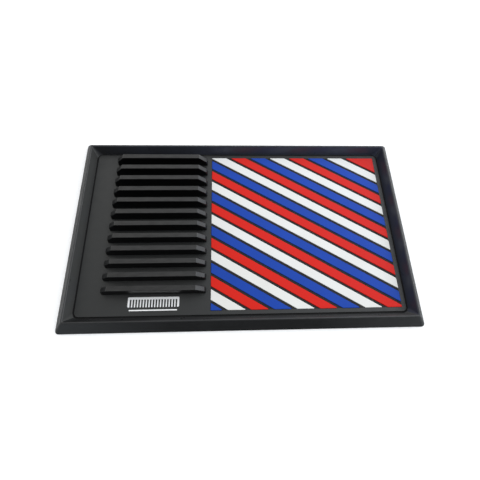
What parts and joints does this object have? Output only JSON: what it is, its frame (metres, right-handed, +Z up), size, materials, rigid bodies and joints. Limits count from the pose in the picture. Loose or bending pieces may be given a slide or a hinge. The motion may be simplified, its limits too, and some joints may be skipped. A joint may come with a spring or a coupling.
{
  "type": "barber station mat",
  "caption": "Rectangular black barber station mat: shallow tray with raised sloping rim, parallel tool-holding ribs at left and a field of slanted coloured inlay stripes at right.",
  "frame": {"origin": "on the table surface under the middle of the mat", "axes": "+X left to right along the long side, ribs on the -X side; +Y from the front edge to the back edge; +Z up"},
  "size_m": [0.4, 0.24, 0.0172],
  "materials": {
    "tray_moulding": "smooth moulded soft PVC, satin to glossy black",
    "deck_sheet": "fine matt texture, charcoal black",
    "rib_moulding": "smooth satin black",
    "stripe_blue": "satin royal blue soft PVC",
    "stripe_white": "satin white soft PVC",
    "stripe_red": "satin signal red soft PVC",
    "white_print": "thin white screen print"
  },
  "bodies": {
    "root": {"tray": "tray_moulding", "deck": "deck_sheet", "rib_01": "rib_moulding", "rib_02": "rib_moulding", "rib_03": "rib_moulding", "rib_04": "rib_moulding", "rib_05": "rib_moulding", "rib_06": "rib_moulding", "rib_07": "rib_moulding", "rib_08": "rib_moulding", "rib_09": "rib_moulding", "rib_10": "rib_moulding", "rib_11": "rib_moulding", "rib_12": "rib_moulding", "stripe_01_blue": "stripe_blue", "stripe_02_white": "stripe_white", "stripe_03_red": "stripe_red", "stripe_04_blue": "stripe_blue", "stripe_05_white": "stripe_white", "stripe_06_red": "stripe_red", "stripe_07_blue": "stripe_blue", "stripe_08_white": "stripe_white", "stripe_09_red": "stripe_red", "stripe_10_blue": "stripe_blue", "stripe_11_white": "stripe_white", "stripe_12_red": "stripe_red", "stripe_13_blue": "stripe_blue", "stripe_14_white": "stripe_white", "stripe_15_red": "stripe_red", "stripe_16_blue": "stripe_blue", "stripe_17_white": "stripe_white", "stripe_18_red": "stripe_red", "stripe_19_blue": "stripe_blue", "stripe_20_white": "stripe_white", "stripe_21_red": "stripe_red", "printed_comb": "white_print", "printed_rule": "white_print"}
  },
  "joints": []
}
